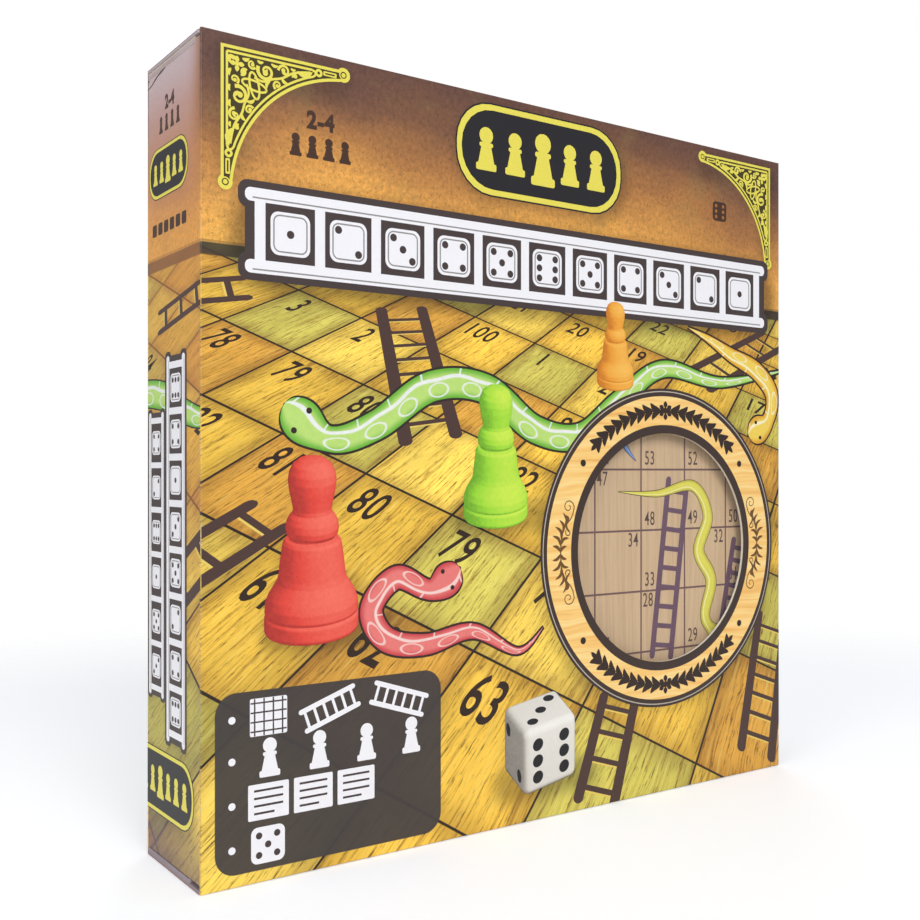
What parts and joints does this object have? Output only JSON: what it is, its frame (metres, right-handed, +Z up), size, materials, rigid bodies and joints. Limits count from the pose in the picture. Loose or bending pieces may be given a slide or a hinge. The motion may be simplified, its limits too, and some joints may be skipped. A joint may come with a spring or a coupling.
{
  "type": "boxed snakes and ladders set",
  "caption": "Tuck-top printed carton with a round window, holding a wooden snakes and ladders board, pawns, a die and a folded leaflet in a card insert.",
  "frame": {"origin": "middle of the carton's base, on the surface it stands on", "axes": "+Z up, -Y out of the windowed front, +X to the right as seen from the front"},
  "size_m": [0.267, 0.0488, 0.267],
  "materials": {
    "printed_front": "full-colour print on board, satin varnish",
    "printed_spine": "full-colour print on board, satin varnish",
    "printed_back": "full-colour print on board, satin varnish",
    "printed_top": "full-colour print on board, satin varnish",
    "greyboard": "uncoated grey-brown board",
    "insert_board": "uncoated pale board",
    "clear_film": "clear glossy film",
    "board_wood": "pale plywood, printed, satin",
    "pawn_green_paint": "turned wood, painted green, matt",
    "pawn_red_paint": "turned wood, painted red, matt",
    "pawn_orange_paint": "turned wood, painted orange, matt",
    "pawn_blue_paint": "turned wood, painted blue, matt",
    "die_plastic": "glossy white with dark pips",
    "leaflet_paper": "plain printed paper"
  },
  "bodies": {
    "carton": {"front_panel": "printed_front", "back_panel": "printed_back", "left_side_panel": "printed_spine", "right_side_panel": "printed_spine", "glue_flap": "greyboard", "bottom_outer_flap": "printed_back", "bottom_inner_flap": "greyboard", "bottom_dust_flap_left": "greyboard", "bottom_dust_flap_right": "greyboard", "window_film": "clear_film", "insert": "insert_board", "game_board": "board_wood", "pawn_green": "pawn_green_paint", "pawn_red": "pawn_red_paint", "pawn_orange": "pawn_orange_paint", "pawn_blue": "pawn_blue_paint", "die": "die_plastic", "instruction_leaflet": "leaflet_paper"},
    "lid": {"top_lid": "printed_top"},
    "tongue": {"tuck_tongue": "printed_top"},
    "dust_flap_left": {"top_dust_flap_left": "greyboard"},
    "dust_flap_right": {"top_dust_flap_right": "greyboard"}
  },
  "joints": [
    {"name": "lid_fold", "type": "hinge", "parent": "carton", "child": "lid", "pos_m": [0, 0.0244, 0.267], "axis": [-1, 0, 0], "range_deg": [0, 180]},
    {"name": "tongue_fold", "type": "hinge", "parent": "lid", "child": "tongue", "pos_m": [0, -0.0229, 0.267], "axis": [-1, 0, 0], "range_deg": [0, 36]},
    {"name": "dust_flap_left_fold", "type": "hinge", "parent": "carton", "child": "dust_flap_left", "pos_m": [-0.1335, 0, 0.2658], "axis": [0, -1, 0], "range_deg": [0, 90]},
    {"name": "dust_flap_right_fold", "type": "hinge", "parent": "carton", "child": "dust_flap_right", "pos_m": [0.1335, 0, 0.2658], "axis": [0, 1, 0], "range_deg": [0, 90]}
  ],
  "couplings": [
    {"joint": "tongue_fold", "follows": "lid_fold", "ratio": 0.2},
    {"joint": "dust_flap_left_fold", "follows": "lid_fold", "ratio": 0.5},
    {"joint": "dust_flap_right_fold", "follows": "lid_fold", "ratio": 0.5}
  ]
}
